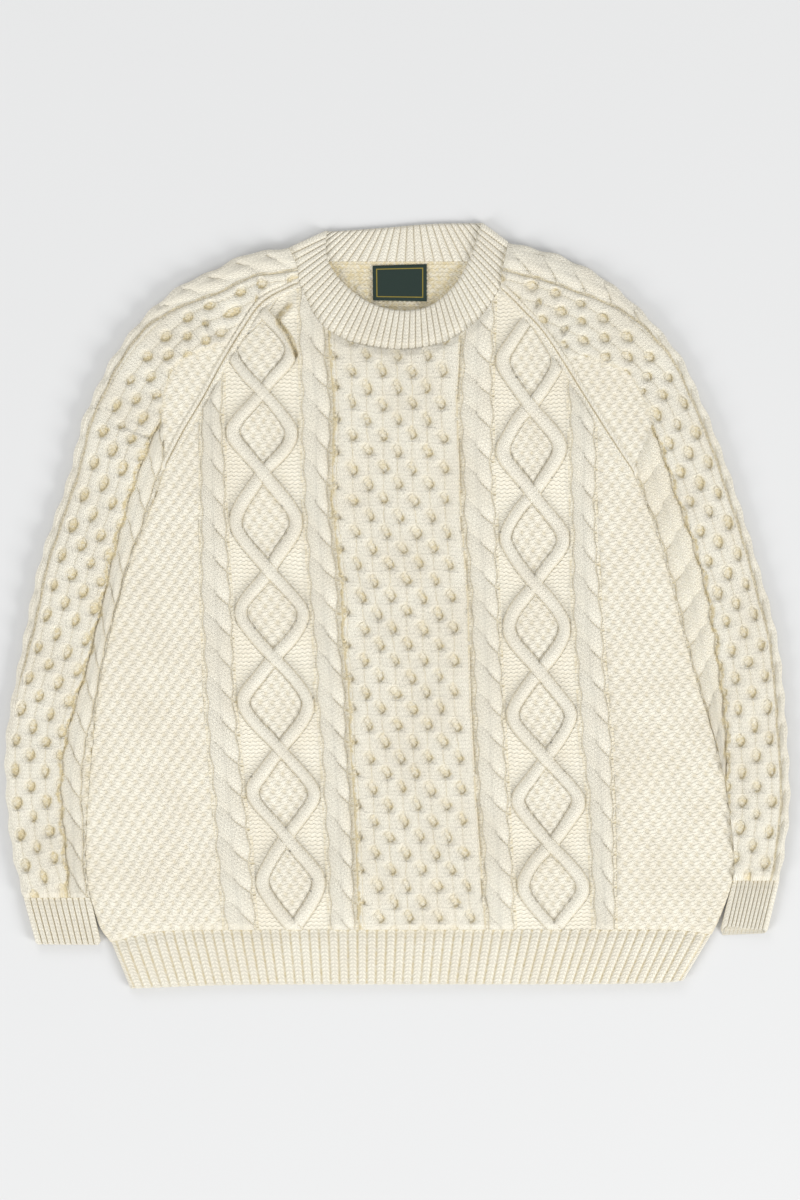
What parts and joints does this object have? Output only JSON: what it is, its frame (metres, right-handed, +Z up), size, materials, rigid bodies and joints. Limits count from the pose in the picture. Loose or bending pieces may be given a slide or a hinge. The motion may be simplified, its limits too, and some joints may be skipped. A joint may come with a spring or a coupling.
{
  "type": "cable knit sweater",
  "caption": "Chunky cable-knit crew-neck pullover with raglan sleeves and ribbed neckband, cuffs and hem, lying flat on its back with the front up.",
  "frame": {"origin": "bottom centre of the bounding box, on the surface that the garment lies on", "axes": "+X towards the wearer's left, +Y from the hem to the neck, +Z up, away from the surface"},
  "size_m": [0.7356, 0.7199, 0.0095],
  "materials": {
    "wool_panels": "undyed cream wool, matt and slightly fuzzy",
    "wool_rib": "undyed cream wool in one-by-one rib, matt",
    "label_weave": "dark green woven label"
  },
  "bodies": {
    "root": {"front_panel": "wool_panels", "back_panel": "wool_panels", "sleeve_left": "wool_panels", "sleeve_right": "wool_panels", "hem_rib_front": "wool_rib", "hem_rib_back": "wool_rib", "cuff_left": "wool_rib", "cuff_right": "wool_rib", "neckband": "wool_rib", "neck_label": "label_weave"}
  },
  "joints": []
}
